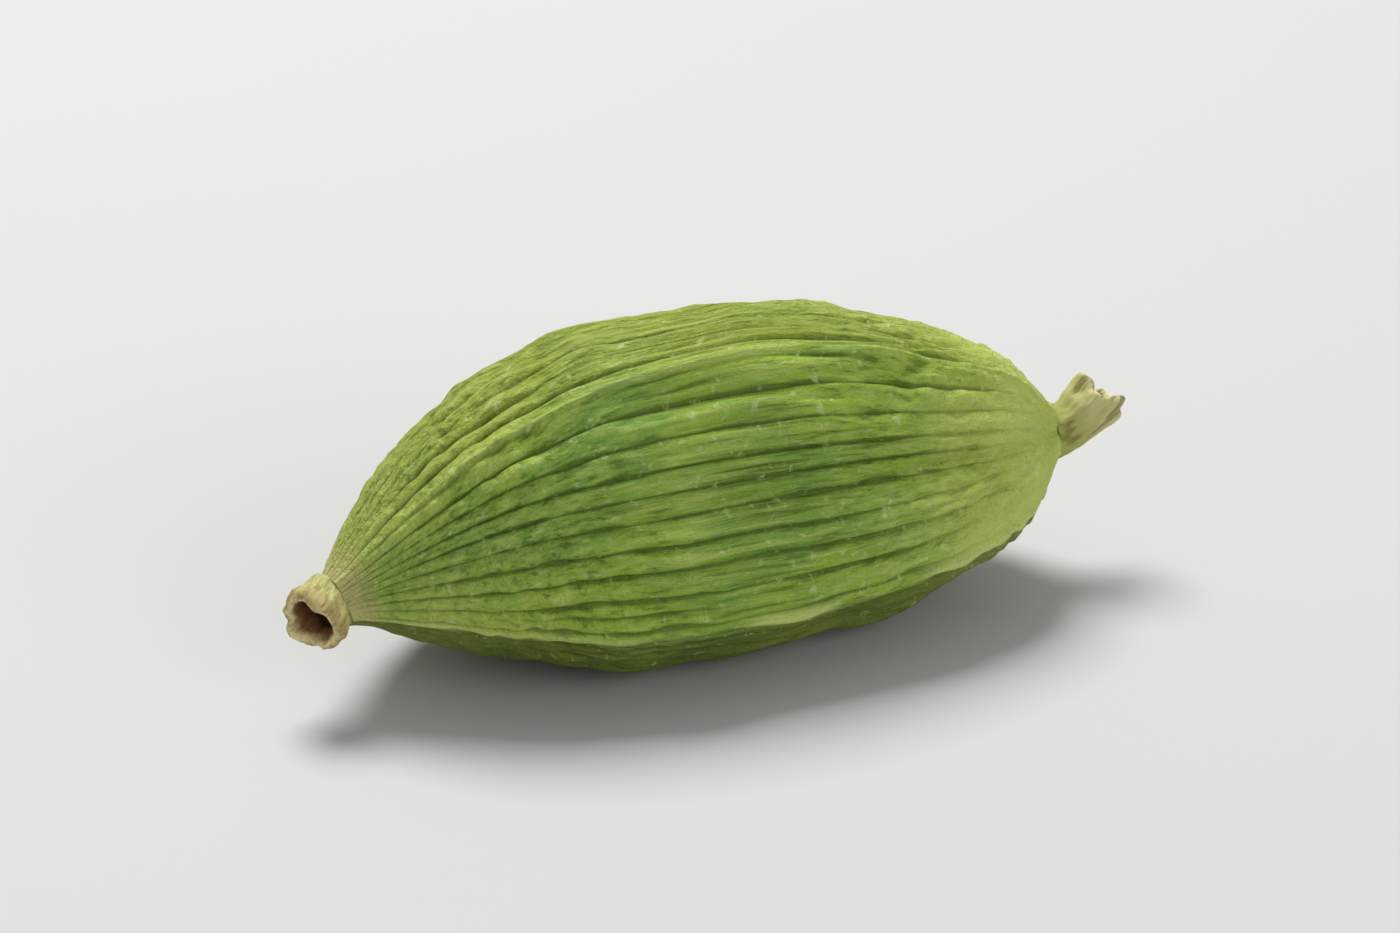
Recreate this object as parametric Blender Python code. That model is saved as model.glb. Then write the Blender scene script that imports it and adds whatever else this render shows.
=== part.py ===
"""A dried green cardamom pod, lying on one of its three sides.

Metres, +Z up. The pod lies along X, its stalk end at -X and its withered flower at +X.
The origin is on the surface that it lies on, under the middle of the pod's box.
"""

import math

import bmesh
import bpy
from mathutils import Vector, noise

MM = 0.001

# Driving dimensions
HUSK_LENGTH = 17.4 * MM
BELLY_RADIUS = 3.95 * MM
RIBS = 42
RIB_HEIGHT = 0.17 * MM
PRESSED_FLAT = 0.26 * MM
STALK_LENGTH = 0.85 * MM
STALK_RADIUS = 0.76 * MM
FLOWER_LENGTH = 1.6 * MM
FLOWER_RADIUS = 0.64 * MM
JOINT_GAP = 0.03 * MM

# How finely each skin is divided, round it and along it
COLUMNS_PER_RIB = 4
HUSK_ROWS = 33
OUTLINE_STEPS = 100
END_COLUMNS = 36
WELD = 0.001 * MM
SHARP_FROM = math.radians(60)

# Outline of the husk from stalk to flower: Bezier pieces of (share of length, share of belly radius)
HUSK_OUTLINE = (
    ((0.0, 0.165), (0.05, 0.20), (0.18, 0.93), (0.46, 1.0)),
    ((0.46, 1.0), (0.68, 1.05), (0.89, 0.74), (0.955, 0.41)),
    ((0.955, 0.41), (0.972, 0.32), (0.985, 0.23), (1.0, 0.172)),
)
# Outline of the stalk stub: (share of length, share of radius), out over the rim, back into the hollow
STALK_OUTLINE = (
    (0.0, 0.0), (0.0, 0.86), (0.3, 0.86), (0.55, 0.94), (0.75, 1.0), (0.92, 0.97), (1.0, 0.85),
    (0.95, 0.72), (0.75, 0.63), (0.45, 0.56), (0.3, 0.40), (0.28, 0.0),
)
# Outline of the withered flower: out over its torn rim, back into its throat
FLOWER_OUTLINE = (
    (0.0, 0.0), (0.0, 1.05), (0.18, 0.95), (0.38, 0.88), (0.58, 0.88), (0.76, 0.93), (0.90, 0.98),
    (0.98, 0.95), (1.0, 0.82), (0.94, 0.64), (0.83, 0.46), (0.76, 0.24), (0.74, 0.0),
)

# The husk's centre line, as Bezier handles about the belly: it arches up and back a little
HUSK_PATH = [
    Vector((-8.4, -0.7, -0.5)) * MM,
    Vector((-3.8, 0.5, 0.8)) * MM,
    Vector((3.4, 0.4, 0.1)) * MM,
    Vector((9.0, -0.1, 0.2)) * MM,
]
STALK_BEND = Vector((0.15, -0.5, -0.1))
FLOWER_BEND = Vector((0.0, -0.1, 1.2))

# Section of the husk: the turn of its three corners from straight up, and in shares of its radius how far
# they stand out, the keel on each and the crease down each side
CORNERS = [math.radians(degrees) for degrees in (-109, -29, 125)]
CORNER = 0.08
KEEL, KEEL_SHARPNESS = 0.04, 12
CREASE, CREASE_SHARPNESS = 0.03, 6
LOPSIDED, LOPSIDED_TWIST = 0.025, 4.0

# Unevenness of the husk: how high, and how many swells of it there are round and along the husk
SEED_BUMP, SEEDS_ROUND, SEEDS_ALONG = 0.17 * MM, 1.6, 7.0
RIB_FLATNESS, RIB_MIDDLE = 0.6, 0.73
RIB_EVEN, RIB_FADE, FADES_ROUND, FADES_ALONG = 0.95, 0.8, 7.0, 5.0
RIB_WANDER, WANDERS_ROUND, WANDERS_ALONG = 0.55, 2.0, 2.5
RIBS_THIN_BELOW = 0.75
RIBS_STOP, RIBS_STOP_OVER = 0.97, 0.17

# Pleats and torn rims of the ends, in shares of their radius and length, and where they bend
BENDS_AT = 0.35
STALK_PLEATS, STALK_PLEAT, STALK_OVAL = 9, 0.03, 0.05
STALK_WORN, STALK_CHIPPED = 0.08, 0.05
TEETH, FLOWER_PLEATS, FLOWER_PLEAT, FLOWER_OVAL = 3, 6, 0.08, 0.10
FLOWER_TORN, FLOWER_SLANT = 0.06, -0.08

# Plain colours, as linear red, green and blue, and how rough each skin is
HUSK_GREEN, HUSK_ROUGHNESS = (0.17, 0.25, 0.05), 0.65
STALK_TAN, STALK_ROUGHNESS = (0.42, 0.30, 0.14), 0.75
FLOWER_STRAW, FLOWER_ROUGHNESS = (0.50, 0.45, 0.24), 0.8


def along(path, share):
    """The point at a share of the way along a Bezier path, and the path's direction there."""
    points = list(path)
    while len(points) > 2:
        points = [a.lerp(b, share) for a, b in zip(points, points[1:])]
    start, end = points
    return start.lerp(end, share), (end - start).normalized()


def husk_outline():
    """Points of the husk's outline at equal steps of its length, both ends closed on the axis."""
    fine = []
    for curve in HUSK_OUTLINE:
        handles = [Vector((s * HUSK_LENGTH, 0.0, r * BELLY_RADIUS)) for s, r in curve]
        fine += [along(handles, step / OUTLINE_STEPS)[0] for step in range(OUTLINE_STEPS)]
    fine.append(handles[-1])
    travelled = [0.0]
    for a, b in zip(fine, fine[1:]):
        travelled.append(travelled[-1] + (b - a).length)
    points = []
    k = 0
    for row in range(HUSK_ROWS):
        goal = travelled[-1] * row / (HUSK_ROWS - 1)
        while k < len(fine) - 2 and travelled[k + 1] < goal:
            k += 1
        past = (goal - travelled[k]) / (travelled[k + 1] - travelled[k])
        points.append(fine[k].lerp(fine[k + 1], past))
    return [Vector((points[0].x, 0, 0)), *points, Vector((points[-1].x, 0, 0))]


def end_outline(shares, length, radius):
    return [Vector((s * length, 0.0, r * radius)) for s, r in shares]


def turned_skin(outline, columns):
    """Spins an outline of (x, 0, radius) points once round the X axis into a closed skin."""
    skin = bmesh.new()
    chain = [skin.verts.new(point) for point in outline]
    edges = [skin.edges.new(pair) for pair in zip(chain, chain[1:])]
    bmesh.ops.spin(
        skin, geom=chain + edges, cent=(0, 0, 0), axis=(1, 0, 0), angle=math.tau, steps=columns,
        use_merge=True,
    )
    bmesh.ops.remove_doubles(skin, verts=skin.verts, dist=WELD)
    bmesh.ops.recalc_face_normals(skin, faces=skin.faces)
    return skin


def lay_along(skin, path, length, relief):
    """Carries a turned skin on to a path. relief gives each point its share of the length, radius and turn."""
    for v in skin.verts:
        radius = math.hypot(v.co.y, v.co.z)
        turn = math.atan2(v.co.y, v.co.z)
        share, radius, turn = relief(v.co.x / length, radius, turn)
        centre, forward = along(path, share)
        up = (Vector((0, 0, 1)) - forward * forward.z).normalized()
        v.co = centre + radius * (math.cos(turn) * up + math.sin(turn) * up.cross(forward))


def swells(share, turn, round_it, along_it, start=0.0):
    """Smooth noise about 0, with roughly so many swells round the husk and along it."""
    return noise.noise(Vector((round_it * math.cos(turn), round_it * math.sin(turn) + start, along_it * share)))


def corner_wave(turn):
    """1 at each corner and -1 midway between two."""
    for start, end in zip(CORNERS, [*CORNERS[1:], CORNERS[0] + math.tau]):
        past = (turn - start) % math.tau
        if past < end - start:
            break
    return math.cos(math.tau * past / (end - start))


def husk_relief(share, radius, turn):
    """Three corners with creases between them, bumps over the seeds, and ribs that waver and fade."""
    corner = corner_wave(turn)
    on_corner = max(0, corner)
    section = 1 + CORNER * corner + LOPSIDED * math.cos(turn - LOPSIDED_TWIST * share)
    section += KEEL * on_corner ** KEEL_SHARPNESS
    section -= CREASE * max(0, -corner) ** CREASE_SHARPNESS
    strength = RIB_EVEN + RIB_FADE * swells(share, turn, FADES_ROUND, FADES_ALONG)
    rib = RIB_HEIGHT * strength * (abs(math.cos(RIBS * turn / 2)) ** RIB_FLATNESS - RIB_MIDDLE)
    rib *= min(1, max(0, RIBS_STOP - share) / RIBS_STOP_OVER)
    bump = SEED_BUMP * swells(share, turn, SEEDS_ROUND, SEEDS_ALONG)
    thinning = min(1, radius / BELLY_RADIUS / RIBS_THIN_BELOW)
    wander = RIB_WANDER * swells(share, turn, WANDERS_ROUND, WANDERS_ALONG, start=5.0)
    return share, radius * section + thinning * (rib + bump), turn + wander * math.tau / RIBS


def stalk_relief(share, radius, turn):
    """Shallow pleats and a worn rim."""
    pleat = STALK_PLEAT * math.cos(STALK_PLEATS * turn) + STALK_OVAL * math.cos(2 * turn)
    worn = STALK_WORN * math.sin(2 * turn) + STALK_CHIPPED * math.sin(5 * turn)
    return share * (1 + worn * share), radius * (1 + pleat), turn


def flower_relief(share, radius, turn):
    """Pleats that deepen towards a rim torn into three blunt teeth."""
    pleat = FLOWER_PLEAT * math.cos(FLOWER_PLEATS * turn) + FLOWER_OVAL * math.cos(2 * turn)
    torn = FLOWER_TORN * math.cos(TEETH * turn) + FLOWER_SLANT * math.sin(turn)
    return share * (1 + torn * share), radius * (1 + pleat * share), turn


def bent_path(start, forward, length, bend):
    """A short path that leaves start going forward and turns towards bend."""
    middle = start + forward * length * BENDS_AT
    return [start, middle, middle + (forward + bend).normalized() * length * (1 - BENDS_AT)]


def husk():
    skin = turned_skin(husk_outline(), RIBS * COLUMNS_PER_RIB)
    lay_along(skin, HUSK_PATH, HUSK_LENGTH, husk_relief)
    flat = min(v.co.z for v in skin.verts) + PRESSED_FLAT
    for v in skin.verts:
        v.co.z = max(v.co.z, flat)
    return skin


def stalk_stub():
    end, inward = along(HUSK_PATH, 0)
    path = bent_path(end - inward * JOINT_GAP, -inward, STALK_LENGTH, STALK_BEND)
    skin = turned_skin(end_outline(STALK_OUTLINE, STALK_LENGTH, STALK_RADIUS), END_COLUMNS)
    lay_along(skin, path, STALK_LENGTH, stalk_relief)
    return skin


def flower_remnant():
    end, outward = along(HUSK_PATH, 1)
    path = bent_path(end + outward * JOINT_GAP, outward, FLOWER_LENGTH, FLOWER_BEND)
    skin = turned_skin(end_outline(FLOWER_OUTLINE, FLOWER_LENGTH, FLOWER_RADIUS), END_COLUMNS)
    lay_along(skin, path, FLOWER_LENGTH, flower_relief)
    return skin


def finish(colour, roughness):
    material = bpy.data.materials.new("dry_skin")
    material.use_nodes = True
    shader = material.node_tree.nodes["Principled BSDF"]
    shader.inputs["Base Color"].default_value = (*colour, 1)
    shader.inputs["Roughness"].default_value = roughness
    shader.inputs["Metallic"].default_value = 0
    return material


def piece(name, skin, material):
    mesh = bpy.data.meshes.new(name)
    skin.to_mesh(mesh)
    skin.free()
    mesh.shade_smooth()
    mesh.set_sharp_from_angle(angle=SHARP_FROM)
    mesh.materials.append(material)
    made = bpy.data.objects.new(name, mesh)
    bpy.context.scene.collection.objects.link(made)
    return made


def set_down(pieces):
    """Moves the pieces so that the box of them all stands on the origin."""
    points = [v.co for made in pieces for v in made.data.vertices]
    low = Vector([min(p[i] for p in points) for i in range(3)])
    high = Vector([max(p[i] for p in points) for i in range(3)])
    base = Vector(((low.x + high.x) / 2, (low.y + high.y) / 2, low.z))
    for made in pieces:
        made.location = -base


for old in list(bpy.data.objects):
    bpy.data.objects.remove(old)

set_down([
    piece("husk", husk(), finish(HUSK_GREEN, HUSK_ROUGHNESS)),
    piece("stalk_stub", stalk_stub(), finish(STALK_TAN, STALK_ROUGHNESS)),
    piece("flower_remnant", flower_remnant(), finish(FLOWER_STRAW, FLOWER_ROUGHNESS)),
])
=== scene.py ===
"""The looks of a dried green cardamom pod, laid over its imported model.

Metres, +Z up. The pod lies along X, its stalk end at -X and its withered flower at +X.
"""

import math

import bmesh
import bpy
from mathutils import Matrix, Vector, noise
from mathutils.geometry import interpolate_bezier


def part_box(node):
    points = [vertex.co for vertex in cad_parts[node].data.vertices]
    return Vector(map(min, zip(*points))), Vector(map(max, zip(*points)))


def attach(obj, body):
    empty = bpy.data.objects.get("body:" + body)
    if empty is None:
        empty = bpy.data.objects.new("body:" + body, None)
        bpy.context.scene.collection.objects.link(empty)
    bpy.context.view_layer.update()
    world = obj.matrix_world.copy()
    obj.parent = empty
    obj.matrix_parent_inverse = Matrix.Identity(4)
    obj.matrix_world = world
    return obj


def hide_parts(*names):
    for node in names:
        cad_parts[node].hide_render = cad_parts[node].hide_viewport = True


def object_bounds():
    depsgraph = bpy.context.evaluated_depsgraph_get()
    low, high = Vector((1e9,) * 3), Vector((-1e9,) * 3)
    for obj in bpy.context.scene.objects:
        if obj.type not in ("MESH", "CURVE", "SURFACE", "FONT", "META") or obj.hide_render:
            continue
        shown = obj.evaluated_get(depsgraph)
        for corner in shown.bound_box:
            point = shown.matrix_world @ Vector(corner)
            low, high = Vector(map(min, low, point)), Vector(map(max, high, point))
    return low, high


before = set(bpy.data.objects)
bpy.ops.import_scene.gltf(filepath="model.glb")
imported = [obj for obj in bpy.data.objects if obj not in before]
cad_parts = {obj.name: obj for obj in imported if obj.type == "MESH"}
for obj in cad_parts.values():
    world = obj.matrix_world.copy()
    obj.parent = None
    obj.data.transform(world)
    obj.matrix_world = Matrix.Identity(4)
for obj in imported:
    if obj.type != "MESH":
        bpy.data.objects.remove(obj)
solid_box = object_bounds()

# The husk: the skin of the fruit, three valves grown together, with a keel at each corner.
# It is green and papery, and has dried on to the seeds, so that it is ribbed from end to end,
# creased down its sides and uneven over the seeds. It lies on the side that is pressed a little flat.
MM = 0.001
HUSK_LENGTH = 17.4 * MM
BELLY_RADIUS = 3.95 * MM
RIBS = 42
RIB_HEIGHT = 0.17 * MM
COLUMNS_PER_RIB = 12
HUSK_STEPS = (88, 78, 18)
WELD = 0.0005 * MM

# Bezier pieces of the husk's outline: (share of length, share of belly radius), from stalk to flower
HUSK_OUTLINE = (
    ((0.0, 0.165), (0.05, 0.20), (0.18, 0.93), (0.46, 1.0)),
    ((0.46, 1.0), (0.68, 1.05), (0.89, 0.74), (0.955, 0.41)),
    ((0.955, 0.41), (0.972, 0.32), (0.985, 0.23), (1.0, 0.172)),
)
HUSK_PATH = [
    Vector((-8.4, -0.7, -0.5)) * MM,
    Vector((-3.8, 0.5, 0.8)) * MM,
    Vector((3.4, 0.4, 0.1)) * MM,
    Vector((9.0, -0.1, 0.2)) * MM,
]

# The section's corners (their turn from straight up), keels and creases, as shares of its radius
CORNERS = [math.radians(degrees) for degrees in (-109, -29, 125)]
CORNER = 0.08
KEEL, KEEL_SHARPNESS = 0.04, 12
CREASE, CREASE_SHARPNESS = 0.03, 6
LOPSIDED, LOPSIDED_TWIST = 0.025, 4.0

# Heights of the unevenness, with how many swells of it there are round the husk and along it
SEED_BUMP, SEEDS_ROUND, SEEDS_ALONG = 0.17 * MM, 1.6, 7.0
RIB_FLATNESS, RIB_MIDDLE = 0.6, 0.73
RIB_EVEN, RIB_FADE, FADES_ROUND, FADES_ALONG = 0.95, 0.8, 7.0, 5.0
RIB_WANDER, WANDERS_ROUND, WANDERS_ALONG = 0.55, 2.0, 2.5
RIBS_THIN_BELOW = 0.75
RIBS_STOP, RIBS_STOP_OVER = 0.97, 0.17

# Fine relief, which only the skin has: ribs split in two, a sharp edge on each keel, fibres and crinkles.
# The higher the value named MORE, the more of the husk is split or crinkled.
SPLIT_DEPTH, SPLIT_MORE, SPLITS_ALONG = 0.18 * MM, 0.15, 4.0
EDGE_HEIGHT, EDGE_SHARPNESS = 0.09 * MM, 200
EDGE_EVEN, EDGE_FADE, EDGE_FADES_ALONG = 0.7, 1.6, 9.0
FIBRE_HEIGHT, FIBRES_PER_MM, FIBRE_REACH_PER_MM = 0.13 * MM, 4.5, 0.30
CRINKLE_HEIGHT, CRINKLES_PER_MM, CRINKLE_REACH_PER_MM = 0.07 * MM, 3.0, 0.9
CRINKLED_MORE, CRINKLED_PATCHES_PER_MM = 0.2, 0.3
DIMPLE_HEIGHT, DIMPLES_PER_MM = 0.10 * MM, 0.7


def along(path, share):
    """The point at a share of the way along a Bezier path, and the path's direction there."""
    points = list(path)
    while len(points) > 2:
        points = [a.lerp(b, share) for a, b in zip(points, points[1:])]
    start, end = points
    return start.lerp(end, share), (end - start).normalized()


def turned_skin(outline, columns):
    """Spins an outline of (x, 0, radius) points once round the X axis into a closed skin."""
    skin = bmesh.new()
    travel = skin.verts.layers.float.new("travel")
    chain = [skin.verts.new(place) for place in outline]
    for step, point in enumerate(chain):
        point[travel] = step / (len(chain) - 1)
    edges = [skin.edges.new(pair) for pair in zip(chain, chain[1:])]
    bmesh.ops.spin(
        skin, geom=chain + edges, cent=(0, 0, 0), axis=(1, 0, 0), angle=math.tau, steps=columns,
        use_merge=True,
    )
    bmesh.ops.remove_doubles(skin, verts=skin.verts, dist=WELD)
    bmesh.ops.recalc_face_normals(skin, faces=skin.faces)
    return skin


def lay_along(skin, path, length, relief):
    """Carries a turned skin on to a path. relief gives each point's share of it, radius and turn."""
    for point in skin.verts:
        radius = math.hypot(point.co.y, point.co.z)
        turn = math.atan2(point.co.y, point.co.z)
        share, radius, turn = relief(point, point.co.x / length, radius, turn)
        centre, forward = along(path, share)
        up = (Vector((0, 0, 1)) - forward * forward.z).normalized()
        point.co = centre + radius * (math.cos(turn) * up + math.sin(turn) * up.cross(forward))


def swells(share, turn, round_it, along_it, start=0.0):
    """Smooth noise about 0, with roughly so many swells round the husk and along it."""
    across, up = round_it * math.cos(turn), round_it * math.sin(turn) + start
    return noise.noise(Vector((across, up, along_it * share)))


def grain(place, along_per_mm, across_per_mm, start=0.0):
    """Smooth noise about 0 at a place in millimetres, drawn out along the pod or across it."""
    return noise.noise(Vector((
        place.x * along_per_mm + start, place.y * across_per_mm, place.z * across_per_mm
    )))


def in_millimetres(share, length, radius, turn):
    """Where a point is on the straight piece, before it is bent, in millimetres."""
    return Vector((share * length, radius * math.sin(turn), radius * math.cos(turn))) / MM


def corner_wave(turn):
    """1 at each corner and -1 midway between two."""
    for start, end in zip(CORNERS, [*CORNERS[1:], CORNERS[0] + math.tau]):
        past = (turn - start) % math.tau
        if past < end - start:
            break
    return math.cos(math.tau * past / (end - start))


def husk_relief(point, share, radius, turn):
    """The form of the solid, with the fine relief on it. It also notes what the colours follow."""
    corner = corner_wave(turn)
    on_corner = max(0, corner)
    section = 1 + CORNER * corner + LOPSIDED * math.cos(turn - LOPSIDED_TWIST * share)
    section += KEEL * on_corner ** KEEL_SHARPNESS
    section -= CREASE * max(0, -corner) ** CREASE_SHARPNESS
    wave = RIBS * turn / 2
    strength = RIB_EVEN + RIB_FADE * swells(share, turn, FADES_ROUND, FADES_ALONG)
    split = max(0, swells(share, turn, FADES_ROUND, SPLITS_ALONG, start=9.0) + SPLIT_MORE)
    ribbed = min(1, max(0, RIBS_STOP - share) / RIBS_STOP_OVER) * (1 - on_corner ** EDGE_SHARPNESS)
    rib = RIB_HEIGHT * strength * (abs(math.cos(wave)) ** RIB_FLATNESS - RIB_MIDDLE)
    rib = ribbed * (rib - SPLIT_DEPTH * split * (1 - abs(math.sin(wave))) ** 2)
    worn = EDGE_EVEN + EDGE_FADE * swells(share, turn, SEEDS_ROUND, EDGE_FADES_ALONG, start=14.0)
    edge = max(0, worn) * on_corner ** EDGE_SHARPNESS
    place = in_millimetres(share, HUSK_LENGTH, radius, turn)
    fibre = FIBRE_HEIGHT * grain(place, FIBRE_REACH_PER_MM, FIBRES_PER_MM)
    crinkle = 1 - 2 * abs(grain(place, CRINKLES_PER_MM, CRINKLE_REACH_PER_MM, start=20.0))
    crinkled = grain(place, CRINKLED_PATCHES_PER_MM, CRINKLED_PATCHES_PER_MM, start=40.0) + CRINKLED_MORE
    crinkle *= CRINKLE_HEIGHT * max(0, crinkled)
    dimple = DIMPLE_HEIGHT * grain(place, DIMPLES_PER_MM, DIMPLES_PER_MM, start=60.0)
    bump = SEED_BUMP * swells(share, turn, SEEDS_ROUND, SEEDS_ALONG)
    thinning = min(1, radius / BELLY_RADIUS / RIBS_THIN_BELOW)
    wander = RIB_WANDER * swells(share, turn, WANDERS_ROUND, WANDERS_ALONG, start=5.0)
    point[height] = (rib + fibre / 2) / RIB_HEIGHT
    point[straight] = place
    point[keel] = edge
    point[upper] = math.cos(turn - UPPER_TURN)
    point[under] = math.cos(turn - UNDER_TURN)
    fine = rib + fibre + crinkle + dimple + bump + EDGE_HEIGHT * edge
    return share, radius * section + thinning * fine, turn + wander * math.tau / RIBS


def piece(name, skin, material, node):
    """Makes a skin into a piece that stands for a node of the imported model."""
    mesh = bpy.data.meshes.new(name)
    skin.to_mesh(mesh)
    skin.free()
    mesh.shade_smooth()
    mesh.materials.append(material)
    made = bpy.data.objects.new(name, mesh)
    bpy.context.scene.collection.objects.link(made)
    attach(made, "root")
    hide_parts(node)


def seen(red, green, blue):
    """A colour given as a screen shows it, 0 to 255, as the shader takes it."""
    linear = [((level / 255 + 0.055) / 1.055) ** 2.4 for level in (red, green, blue)]
    return (*linear, 1.0)


def new_material(name):
    material = bpy.data.materials.new(name)
    material.use_nodes = True
    return material


def feed(material, socket, value):
    """Sets a socket to a value, or links it to the socket that gives one."""
    if isinstance(value, bpy.types.NodeSocket):
        material.node_tree.links.new(value, socket)
    else:
        socket.default_value = value


def add(material, kind, inputs=(), **settings):
    """Adds a shader node. inputs pairs each socket with what feeds it."""
    made = material.node_tree.nodes.new("ShaderNode" + kind)
    for name, value in settings.items():
        setattr(made, name, value)
    for socket, value in dict(inputs).items():
        feed(material, made.inputs[socket], value)
    return made


def attribute(material, name, output="Fac"):
    return add(material, "Attribute", attribute_name=name).outputs[output]


def texture(material, place, fineness, detail=3.0, roughness=0.55):
    """Noise from 0 to 1 over a place in millimetres. fineness is its swells in one, along and across."""
    along_it, across_it = fineness
    mapped = add(material, "Mapping", {"Vector": place, "Scale": (along_it, across_it, across_it)})
    settings = {"Vector": mapped.outputs[0], "Scale": 1.0, "Detail": detail, "Roughness": roughness}
    return add(material, "TexNoise", settings).outputs[0]


def spread(material, value, low, high, to_low=0.0, to_high=1.0):
    """Spreads a range of values smoothly over another."""
    settings = {"Value": value, "From Min": low, "From Max": high, "To Min": to_low, "To Max": to_high}
    return add(material, "MapRange", settings, interpolation_type="SMOOTHSTEP").outputs[0]


def joined(material, operation, first, second):
    return add(material, "Math", {0: first, 1: second}, operation=operation).outputs[0]


def blended(material, share, below, colour):
    """A colour, with a share of another laid over it."""
    settings = {0: share, 6: below, 7: colour}
    return add(material, "Mix", settings, data_type="RGBA").outputs[2]


# The values between which nearly all of a noise texture lies
NOISE_RANGE = (0.3, 0.7)


def shifted(material, value, pattern, most):
    """A value, moved down or up by at most so much where a pattern is low or high."""
    return joined(material, "ADD", value, spread(material, pattern, *NOISE_RANGE, -most, most))


def coat(material, below, colour, pattern, start, full, most=1.0):
    """Lays a colour over another where a pattern goes from start to full, and covers at most a share."""
    return blended(material, spread(material, pattern, start, full, 0.0, most), below, colour)


def surface(material, colour, roughness, gloss, relief, depth, strength):
    """Gives a material's shader its colour, its shine and its finest relief."""
    bump = add(material, "Bump", {"Strength": strength, "Distance": depth, "Height": relief})
    shader = material.node_tree.nodes["Principled BSDF"]
    feed(material, shader.inputs["Base Color"], colour)
    feed(material, shader.inputs["Roughness"], roughness)
    feed(material, shader.inputs["Specular IOR Level"], gloss)
    feed(material, shader.inputs["Normal"], bump.outputs[0])


GROOVE_GREEN = seen(74, 98, 26)
LEAF_GREEN = seen(147, 176, 61)
DEEP_GREEN = seen(125, 164, 67)
UNDER_SHADE_GREEN = seen(84, 98, 34)
UPPER_LIT_GREEN = seen(142, 151, 55)
CREST_GREEN = seen(180, 196, 104)
YELLOW_GREEN = seen(198, 211, 108)
STRAW = seen(190, 186, 120)
FLECK = seen(200, 212, 146)
EDGE_PALE = seen(202, 212, 130)
BLEMISH = seen(134, 124, 60)

# How fine the skin's patterns are, in swells a millimetre along the pod and across it
PATCHES, BLEMISHES, SPECKS = (0.28, 0.5), (0.7, 1.6), (3.6, 4.6)
STREAKS, LINES, THREADS, CRUMPLE = (0.18, 4.5), (0.35, 10.0), (1.0, 7.0), (4.0, 4.0)
SKIN_RELIEF = 0.14 * MM

# The valve that faces up and back is paler, painted light, and the one that it lies on is darker, painted
# shade: each about its middle
UPPER_TURN = (CORNERS[1] + CORNERS[2]) / 2
UNDER_TURN = (CORNERS[2] + CORNERS[0] + math.tau) / 2
UPPER_EDGE = math.cos((CORNERS[2] - CORNERS[1]) / 2)
UNDER_EDGE = math.cos((CORNERS[0] + math.tau - CORNERS[2]) / 2)


def husk_material():
    """Mottled green with pale crests and dark grooves, yellower towards both ends, with pale specks; the
    crests are partly painted highlight, the grooves painted shade.
    """
    skin = new_material("husk_skin")
    place = attribute(skin, "straight", "Vector")
    x = add(skin, "SeparateXYZ", {0: place}).outputs[0]
    patches = texture(skin, place, PATCHES, detail=4.0)
    streaks = texture(skin, place, STREAKS, detail=4.0, roughness=0.65)
    lines = texture(skin, place, LINES, detail=2.0, roughness=0.6)
    specks = texture(skin, place, SPECKS, detail=2.0)
    blemishes = texture(skin, place, BLEMISHES, detail=4.0, roughness=0.7)

    # Painted light: a tone for the valve facing up and back, where the light falls on it.
    lit_valve = spread(skin, attribute(skin, "upper"), UPPER_EDGE - 0.05, UPPER_EDGE + 0.15)
    green = coat(skin, LEAF_GREEN, DEEP_GREEN, patches, start=0.40, full=0.62)
    green = blended(skin, joined(skin, "MULTIPLY", lit_valve, 0.6), green, UPPER_LIT_GREEN)
    green = coat(skin, green, CREST_GREEN, streaks, start=0.45, full=0.75, most=0.4)
    green = coat(skin, green, CREST_GREEN, lines, start=0.50, full=0.70, most=0.6)
    green = coat(skin, green, GROOVE_GREEN, lines, start=0.47, full=0.30, most=0.6)

    # Painted shade: the grooves between the ribs are darkened by how deep they lie, less on the valve
    # facing up and back.
    streaked = shifted(skin, attribute(skin, "height"), streaks, 0.15)
    groove_shade_strength = spread(skin, lit_valve, 0.0, 1.0, 0.72, 0.40)
    groove_shade = joined(skin, "MULTIPLY", spread(skin, streaked, -0.12, -0.50), groove_shade_strength)
    colour = blended(skin, groove_shade, green, GROOVE_GREEN)
    # Painted highlight, with the crests' own paler colour: the ribs are lightened where they stand
    # highest.
    colour = coat(skin, colour, CREST_GREEN, streaked, start=0.15, full=0.60, most=0.5)

    uneven_x = shifted(skin, x, patches, 1.5)
    colour = coat(skin, colour, YELLOW_GREEN, uneven_x, start=4.0, full=0.5, most=0.4)
    colour = coat(skin, colour, YELLOW_GREEN, uneven_x, start=12.0, full=17.0, most=0.9)
    colour = coat(skin, colour, STRAW, x, start=1.0, full=0.1)

    # Painted shade: the valve that the pod lies on is darkened.
    underside = attribute(skin, "under")
    colour = coat(skin, colour, UNDER_SHADE_GREEN, underside, UNDER_EDGE - 0.02, UNDER_EDGE + 0.08, most=0.75)
    # A pale line along each keel, strongest on the lower keel, where it is painted highlight.
    low_keel = spread(skin, underside, UNDER_EDGE - 0.4, UNDER_EDGE - 0.1, 0.15, 0.65)
    pale = joined(skin, "MULTIPLY", spread(skin, attribute(skin, "keel"), 0.1, 0.9), low_keel)
    colour = blended(skin, pale, colour, EDGE_PALE)
    colour = coat(skin, colour, BLEMISH, blemishes, start=0.68, full=0.78, most=0.35)
    colour = coat(skin, colour, FLECK, specks, start=0.61, full=0.74, most=0.55)

    threads = texture(skin, place, THREADS, detail=4.0, roughness=0.75)
    crumple = joined(skin, "MULTIPLY", texture(skin, place, CRUMPLE), 0.8)
    relief = joined(skin, "ADD", threads, crumple)
    roughness = spread(skin, streaks, *NOISE_RANGE, 0.55, 0.72)
    surface(skin, colour, roughness, gloss=0.22, relief=relief, depth=SKIN_RELIEF, strength=1.0)
    return skin


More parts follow.
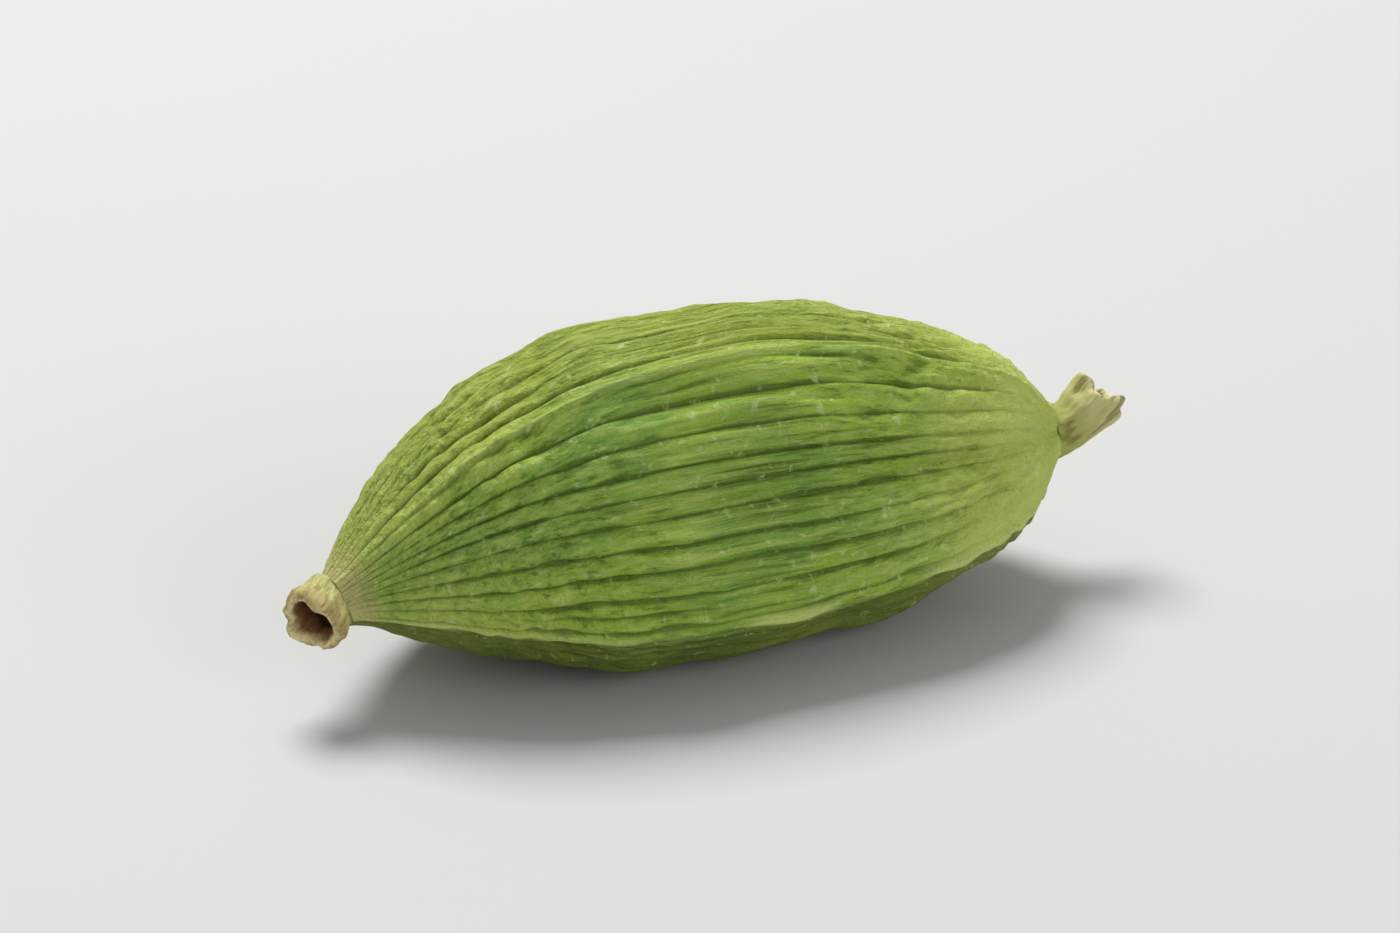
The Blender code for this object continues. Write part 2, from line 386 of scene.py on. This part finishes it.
husk_curve = []
for curve, steps in zip(HUSK_OUTLINE, HUSK_STEPS):
    handles = [Vector((share * HUSK_LENGTH, 0.0, reach * BELLY_RADIUS)) for share, reach in curve]
    husk_curve += interpolate_bezier(*handles, steps + 1)[:-1]
husk_curve.append(handles[-1])
husk_ends = [Vector((point.x, 0, 0)) for point in (husk_curve[0], husk_curve[-1])]
husk = turned_skin([husk_ends[0], *husk_curve, husk_ends[1]], RIBS * COLUMNS_PER_RIB)
height = husk.verts.layers.float.new("height")
straight = husk.verts.layers.float_vector.new("straight")
keel = husk.verts.layers.float.new("keel")
upper = husk.verts.layers.float.new("upper")
under = husk.verts.layers.float.new("under")
lay_along(husk, HUSK_PATH, HUSK_LENGTH, husk_relief)

# The solid's box says where the pod lies: its middle across, its top, and the surface at height 0
low, high = (Vector(corner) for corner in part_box("husk"))
own_low = Vector([min(point.co[axis] for point in husk.verts) for axis in range(3)])
own_high = Vector([max(point.co[axis] for point in husk.verts) for axis in range(3)])
put_down = (low + high - own_low - own_high) / 2
put_down.z = high.z - own_high.z
for point in husk.verts:
    point.co += put_down
    point.co.z = max(point.co.z, 0.0)
pod_path = [place + put_down for place in HUSK_PATH]
piece("husk_skin", husk, husk_material(), "husk")

# The stalk stub: the end of the stalk that the pod hung on, dried to a tan ring round a hollow that is
# darkened with painted shade.
# It is clipped off just under the pod, and its pith has shrunk away inside.
STALK_LENGTH = 0.85 * MM
STALK_RADIUS = 0.76 * MM
STALK_BEND = Vector((0.15, -0.5, -0.1))
STALK_OUTLINE = (
    (0.0, 0.0), (0.0, 0.86), (0.3, 0.86), (0.55, 0.94), (0.75, 1.0), (0.92, 0.97), (1.0, 0.85),
    (0.95, 0.72), (0.75, 0.63), (0.45, 0.56), (0.3, 0.40), (0.28, 0.0),
)
STALK_PLEATS, STALK_PLEAT, STALK_OVAL = 9, 0.03, 0.05
STALK_WORN, STALK_CHIPS, STALK_CHIPPED = 0.08, 5, 0.05

# Its roughness: the height, and the swells a millimetre along it and across it
STALK_LUMP, STALK_LUMPS = 0.035 * MM, (3.0, 5.0)
STALK_PIT, STALK_PITS = 0.02 * MM, (9.0, 12.0)
END_COLUMNS = 144
END_STEPS = 7
BENDS_AT = 0.35
SMOOTH_WITHIN = 0.4

STALK_TAN = seen(182, 163, 108)
RIM_CREAM = seen(220, 206, 152)
PITH_BROWN = seen(138, 98, 60)
HOLLOW_SHADE = seen(42, 20, 10)
FIBRE_BROWN = seen(92, 66, 36)
STALK_FIBRES, STALK_BLOTCHES = (1.5, 9.0), (2.0, 2.0)
END_RELIEF = 0.03 * MM


def curved(points, steps):
    """A smooth chain through the points, with so many steps between each two."""
    chain = []
    befores, afters = [points[0], *points], [*points[2:], points[-1]]
    for before, start, end, after in zip(befores, points, points[1:], afters):
        handles = start, start + (end - before) / 6, end - (after - start) / 6, end
        chain += interpolate_bezier(*handles, steps + 1)[:-1]
    return [*chain, points[-1]]


def end_outline(shares, length, radius):
    """The outline of an end piece, with its corner where it meets the husk kept sharp."""
    axis, *rest = [Vector((share * length, 0.0, reach * radius)) for share, reach in shares]
    return [axis, *curved(rest, END_STEPS)]


def bent_path(start, forward, length, bend):
    """A short path that leaves start going forward and turns towards bend."""
    middle = start + forward * length * BENDS_AT
    return [start, middle, middle + (forward + bend).normalized() * length * (1 - BENDS_AT)]


def stalk_relief(point, share, radius, turn):
    """Shallow pleats, a worn rim and rough edges."""
    place = in_millimetres(share, STALK_LENGTH, radius, turn)
    pleat = STALK_PLEAT * math.cos(STALK_PLEATS * turn) + STALK_OVAL * math.cos(2 * turn)
    worn = STALK_WORN * math.sin(2 * turn) + STALK_CHIPPED * math.sin(STALK_CHIPS * turn)
    rough = STALK_LUMP * grain(place, *STALK_LUMPS) + STALK_PIT * grain(place, *STALK_PITS, start=7.0)
    thinning = min(1, radius / STALK_RADIUS / SMOOTH_WITHIN)
    point[stalk_straight] = place
    reach = share * (1 + worn * share) + rough / STALK_LENGTH * share
    return reach, radius * (1 + pleat) + rough * thinning, turn


def stalk_material():
    """Straw where it leaves the husk, then tan, a cream rim, and brown to black down the hollow, the
    black painted shade.
    """
    tan = new_material("stalk_ring")
    place = attribute(tan, "straight", "Vector")
    fibres = texture(tan, place, STALK_FIBRES, detail=4.0, roughness=0.7)
    blotches = texture(tan, place, STALK_BLOTCHES)
    uneven = shifted(tan, attribute(tan, "travel"), blotches, 0.04)
    colour = coat(tan, STRAW, STALK_TAN, uneven, start=0.12, full=0.40)
    colour = coat(tan, colour, RIM_CREAM, uneven, start=0.44, full=0.56)
    colour = coat(tan, colour, PITH_BROWN, uneven, start=0.60, full=0.70)
    # Painted shade: the hollow goes to near black.
    colour = coat(tan, colour, HOLLOW_SHADE, uneven, start=0.70, full=0.82)
    colour = coat(tan, colour, FIBRE_BROWN, fibres, start=0.55, full=0.35, most=0.5)
    surface(tan, colour, roughness=0.75, gloss=0.3, relief=fibres, depth=END_RELIEF, strength=0.6)
    return tan


stalk = turned_skin(end_outline(STALK_OUTLINE, STALK_LENGTH, STALK_RADIUS), END_COLUMNS)
stalk_straight = stalk.verts.layers.float_vector.new("straight")
pod_start, inward = along(pod_path, 0)
lay_along(stalk, bent_path(pod_start, -inward, STALK_LENGTH, STALK_BEND), STALK_LENGTH, stalk_relief)
piece("stalk_ring", stalk, stalk_material(), "stalk_stub")

# The withered flower: the dried tube of the flower that the pod grew from, at its far end.
# It is thin straw-coloured tissue, pleated lengthwise, and has torn into teeth at its rim.
FLOWER_LENGTH = 1.6 * MM
FLOWER_RADIUS = 0.64 * MM
FLOWER_BEND = Vector((0.0, -0.1, 1.2))
FLOWER_OUTLINE = (
    (0.0, 0.0), (0.0, 1.05), (0.18, 0.95), (0.38, 0.88), (0.58, 0.88), (0.76, 0.93), (0.90, 0.98),
    (0.98, 0.95), (1.0, 0.82), (0.94, 0.64), (0.83, 0.46), (0.76, 0.24), (0.74, 0.0),
)
TEETH, FLOWER_PLEATS, FLOWER_PLEAT, FLOWER_OVAL = 3, 6, 0.08, 0.10
FLOWER_TORN, FLOWER_SLANT = 0.06, -0.08
RAGGED, RAGS_ROUND, RAGS_DRAWN_FROM = 0.05, 2.2, Vector((0.0, 0.0, 3.0))

# Its folds: the height, the swells a millimetre along it and across it, and their share at its foot
FOLD, FOLDS = 0.10 * MM, (1.0, 3.0)
WRINKLE, WRINKLES = 0.05 * MM, (3.0, 8.0)
FOLDED_AT_FOOT = 0.3

TISSUE_GREEN = seen(158, 164, 84)
TISSUE_STRAW = seen(192, 188, 128)
TISSUE_RIM = seen(216, 212, 158)
TISSUE_INSIDE_SHADE = seen(104, 92, 50)
TISSUE_FOLD_SHADE = seen(120, 108, 60)
TISSUE_FIBRES = (1.2, 8.0)


def flower_relief(point, share, radius, turn):
    """Pleats that deepen towards a torn rim, and tissue that has crumpled as it dried."""
    place = in_millimetres(share, FLOWER_LENGTH, radius, turn)
    around = RAGS_ROUND * Vector((math.cos(turn), math.sin(turn), 0.0))
    pleat = FLOWER_PLEAT * math.cos(FLOWER_PLEATS * turn) + FLOWER_OVAL * math.cos(2 * turn)
    torn = FLOWER_TORN * math.cos(TEETH * turn) + FLOWER_SLANT * math.sin(turn)
    torn += RAGGED * noise.noise(around + RAGS_DRAWN_FROM)
    fold = FOLD * grain(place, *FOLDS) + WRINKLE * grain(place, *WRINKLES, start=5.0)
    thinning = min(1, radius / FLOWER_RADIUS / SMOOTH_WITHIN)
    point[flower_straight] = place
    point[folded] = fold / FOLD
    reach = share * (1 + torn * share ** 2)
    return reach, radius * (1 + pleat * share) + fold * thinning * (FOLDED_AT_FOOT + share), turn


def flower_material():
    """Greenish at its foot, then straw, a pale rim, and painted shade in brown inside the tube and down
    the folds.
    """
    tissue = new_material("withered_flower")
    place = attribute(tissue, "straight", "Vector")
    travel = attribute(tissue, "travel")
    fibres = texture(tissue, place, TISSUE_FIBRES, detail=4.0, roughness=0.7)
    folds = shifted(tissue, attribute(tissue, "folded"), fibres, 0.4)
    colour = coat(tissue, TISSUE_GREEN, TISSUE_STRAW, travel, start=0.05, full=0.45)
    colour = coat(tissue, colour, TISSUE_RIM, travel, start=0.5, full=0.62)
    # Painted shade: darker brown inside the tube and deep in the folds.
    colour = coat(tissue, colour, TISSUE_INSIDE_SHADE, travel, start=0.68, full=0.85)
    colour = coat(tissue, colour, TISSUE_FOLD_SHADE, folds, start=0.0, full=-0.5, most=0.7)
    surface(tissue, colour, roughness=0.8, gloss=0.25, relief=fibres, depth=END_RELIEF, strength=0.7)
    return tissue


flower = turned_skin(end_outline(FLOWER_OUTLINE, FLOWER_LENGTH, FLOWER_RADIUS), END_COLUMNS)
flower_straight = flower.verts.layers.float_vector.new("straight")
folded = flower.verts.layers.float.new("folded")
pod_end, outward = along(pod_path, 1)
lay_along(flower, bent_path(pod_end, outward, FLOWER_LENGTH, FLOWER_BEND), FLOWER_LENGTH, flower_relief)
piece("withered_flower", flower, flower_material(), "flower_remnant")

# The surface that the pod lies on: a plain sheet of matt white paper.
# It lies level at height 0, and is wide enough to fill the view.
FLOOR_SIZE = 1.2
PAPER_WHITE = (0.58, 0.58, 0.57, 1.0)
PAPER_ROUGHNESS = 0.9
paper = new_material("white_paper")
paper_shader = paper.node_tree.nodes["Principled BSDF"]
paper_shader.inputs["Base Color"].default_value = PAPER_WHITE
paper_shader.inputs["Roughness"].default_value = PAPER_ROUGHNESS
sheet = bmesh.new()
bmesh.ops.create_grid(sheet, x_segments=1, y_segments=1, size=FLOOR_SIZE / 2)
floor_mesh = bpy.data.meshes.new("floor")
sheet.to_mesh(floor_mesh)
sheet.free()
floor_mesh.materials.append(paper)
floor = bpy.data.objects.new("floor", floor_mesh)
bpy.context.scene.collection.objects.link(floor)

# Studio light: a broad lamp overhead and a little behind, and a weaker one from the front.
# An even white light all round fills the shadows.
OVERHEAD_PLACE, OVERHEAD_SIZE, OVERHEAD_WATTS = (-0.01, 0.10, 0.22), 0.12, 0.59
FRONT_PLACE, FRONT_SIZE, FRONT_WATTS = (0.10, -0.26, 0.14), 0.20, 0.24
EVEN_COLOUR, EVEN_STRENGTH = (1.0, 1.0, 1.0, 1.0), 0.35


def lamp(name, place, size, watts, aim):
    """A round soft lamp that points from its place at its aim."""
    light = bpy.data.lights.new(name, "AREA")
    light.shape = "DISK"
    light.size = size
    light.energy = watts
    made = bpy.data.objects.new(name, light)
    made.location = place
    made.rotation_euler = (Vector(place) - aim).to_track_quat("Z", "Y").to_euler()
    bpy.context.scene.collection.objects.link(made)


pod_low, pod_high = (Vector(corner) for corner in solid_box)
pod_middle = (pod_low + pod_high) / 2
lamp("overhead", OVERHEAD_PLACE, OVERHEAD_SIZE, OVERHEAD_WATTS, pod_middle)
lamp("front", FRONT_PLACE, FRONT_SIZE, FRONT_WATTS, pod_middle)
world = bpy.data.worlds.new("even_light")
world.use_nodes = True
world.node_tree.nodes["Background"].inputs["Color"].default_value = EVEN_COLOUR
world.node_tree.nodes["Background"].inputs["Strength"].default_value = EVEN_STRENGTH
bpy.context.scene.world = world
bpy.context.scene.view_settings.view_transform = "Standard"

# The camera looks down on the pod from its front, with a long lens, as the photograph does.
# It stands as far off as gives the pod its share of the picture's width.
AZIMUTH = math.radians(-22)
ELEVATION = math.radians(26)
LENS_MM = 160.0
SENSOR_MM = 36.0
NEAREST_SEEN = 0.01
POD_SHARE_OF_WIDTH = 0.60
towards_camera = Vector((
    math.sin(AZIMUTH) * math.cos(ELEVATION),
    -math.cos(AZIMUTH) * math.cos(ELEVATION),
    math.sin(ELEVATION),
))
pod_width = (pod_high.x - pod_low.x) * math.cos(AZIMUTH)
distance = pod_width / POD_SHARE_OF_WIDTH * LENS_MM / SENSOR_MM
lens = bpy.data.cameras.new("camera")
lens.lens = LENS_MM
lens.sensor_width = SENSOR_MM
lens.clip_start = NEAREST_SEEN
camera = bpy.data.objects.new("camera", lens)
camera.location = pod_middle + towards_camera * distance
camera.rotation_euler = towards_camera.to_track_quat("Z", "Y").to_euler()
bpy.context.scene.collection.objects.link(camera)
bpy.context.scene.camera = camera
